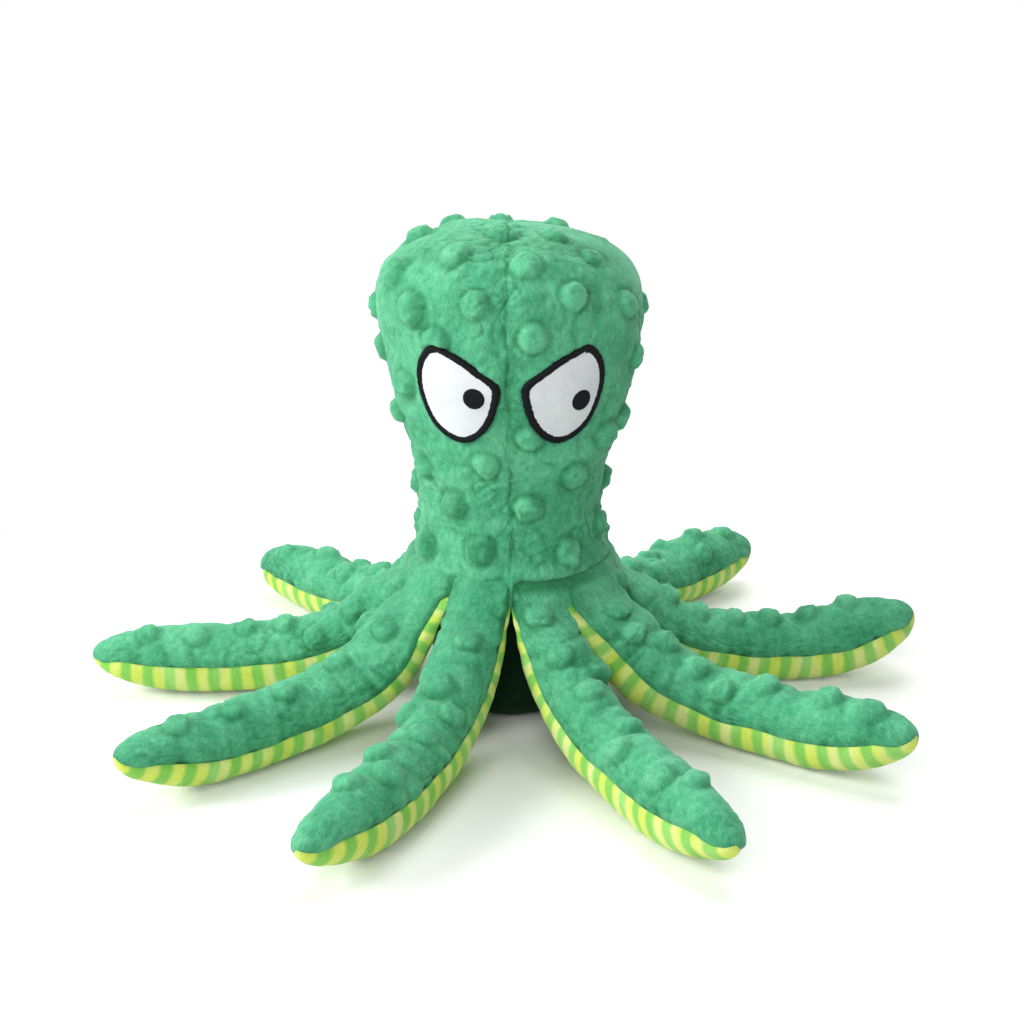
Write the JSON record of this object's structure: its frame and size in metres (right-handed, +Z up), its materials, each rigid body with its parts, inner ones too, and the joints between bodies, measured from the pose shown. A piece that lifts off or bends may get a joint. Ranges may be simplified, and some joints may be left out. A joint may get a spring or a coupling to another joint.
{
  "type": "plush octopus",
  "caption": "Stuffed octopus toy with a tall round head, stitched eyes, a waist seam and eight arms with striped undersides, lying spread on its flat base.",
  "frame": {"origin": "centre of the flat face under the base, on the surface that the toy lies on", "axes": "+Z up, the face looks along -Y, +X to the viewer's right when facing the face"},
  "size_m": [0.3116, 0.2615, 0.1765],
  "materials": {
    "pile_cloth": "short soft pile with raised round dots",
    "striped_cloth": "short velour with yellow-green and green stripes across the arm",
    "stuffing": "loose white fibre",
    "eye_cloth": "smooth white patch",
    "black_thread": "dense satin stitch",
    "squeaker_skin": "soft moulded bulb",
    "reed_plastic": "moulded reed"
  },
  "bodies": {
    "base": {"base_panel": "pile_cloth", "base_filling": "stuffing"},
    "head": {"head_front_right_panel": "pile_cloth", "head_back_right_panel": "pile_cloth", "head_back_left_panel": "pile_cloth", "head_front_left_panel": "pile_cloth", "head_filling": "stuffing", "squeaker_bulb": "squeaker_skin", "squeaker_reed": "reed_plastic", "left_eye_white": "eye_cloth", "left_eye_rim": "black_thread", "left_pupil": "black_thread", "right_eye_white": "eye_cloth", "right_eye_rim": "black_thread", "right_pupil": "black_thread"},
    "arm_1": {"arm_1_upper_panel": "pile_cloth", "arm_1_under_panel": "striped_cloth", "arm_1_filling": "stuffing"},
    "arm_2": {"arm_2_upper_panel": "pile_cloth", "arm_2_under_panel": "striped_cloth", "arm_2_filling": "stuffing"},
    "arm_3": {"arm_3_upper_panel": "pile_cloth", "arm_3_under_panel": "striped_cloth", "arm_3_filling": "stuffing"},
    "arm_4": {"arm_4_upper_panel": "pile_cloth", "arm_4_under_panel": "striped_cloth", "arm_4_filling": "stuffing"},
    "arm_5": {"arm_5_upper_panel": "pile_cloth", "arm_5_under_panel": "striped_cloth", "arm_5_filling": "stuffing"},
    "arm_6": {"arm_6_upper_panel": "pile_cloth", "arm_6_under_panel": "striped_cloth", "arm_6_filling": "stuffing"},
    "arm_7": {"arm_7_upper_panel": "pile_cloth", "arm_7_under_panel": "striped_cloth", "arm_7_filling": "stuffing"},
    "arm_8": {"arm_8_upper_panel": "pile_cloth", "arm_8_under_panel": "striped_cloth", "arm_8_filling": "stuffing"}
  },
  "joints": [
    {"name": "head_nod", "type": "hinge", "parent": "base", "child": "head", "pos_m": [0, 0, 0.064], "axis": [1, 0, 0], "range_deg": [-15, 15], "stiffness_Nm_per_rad": 0.25},
    {"name": "arm_1_lift", "type": "hinge", "parent": "base", "child": "arm_1", "pos_m": [0.01275, -0.03503, 0.056], "axis": [-0.9397, -0.342, 0], "range_deg": [-10, 75]},
    {"name": "arm_2_lift", "type": "hinge", "parent": "base", "child": "arm_2", "pos_m": [0.03229, -0.01864, 0.056], "axis": [-0.5, -0.866, 0], "range_deg": [-10, 75]},
    {"name": "arm_3_lift", "type": "hinge", "parent": "base", "child": "arm_3", "pos_m": [0.03671, 0.00647, 0.056], "axis": [0.1736, -0.9848, 0], "range_deg": [-10, 75]},
    {"name": "arm_4_lift", "type": "hinge", "parent": "base", "child": "arm_4", "pos_m": [0.02396, 0.02856, 0.056], "axis": [0.766, -0.6428, 0], "range_deg": [-10, 75]},
    {"name": "arm_5_lift", "type": "hinge", "parent": "base", "child": "arm_5", "pos_m": [-0.02396, 0.02856, 0.056], "axis": [0.766, 0.6428, 0], "range_deg": [-10, 75]},
    {"name": "arm_6_lift", "type": "hinge", "parent": "base", "child": "arm_6", "pos_m": [-0.03671, 0.00647, 0.056], "axis": [0.1736, 0.9848, 0], "range_deg": [-10, 75]},
    {"name": "arm_7_lift", "type": "hinge", "parent": "base", "child": "arm_7", "pos_m": [-0.03229, -0.01864, 0.056], "axis": [-0.5, 0.866, 0], "range_deg": [-10, 75]},
    {"name": "arm_8_lift", "type": "hinge", "parent": "base", "child": "arm_8", "pos_m": [-0.01275, -0.03503, 0.056], "axis": [-0.9397, 0.342, 0], "range_deg": [-10, 75]}
  ]
}
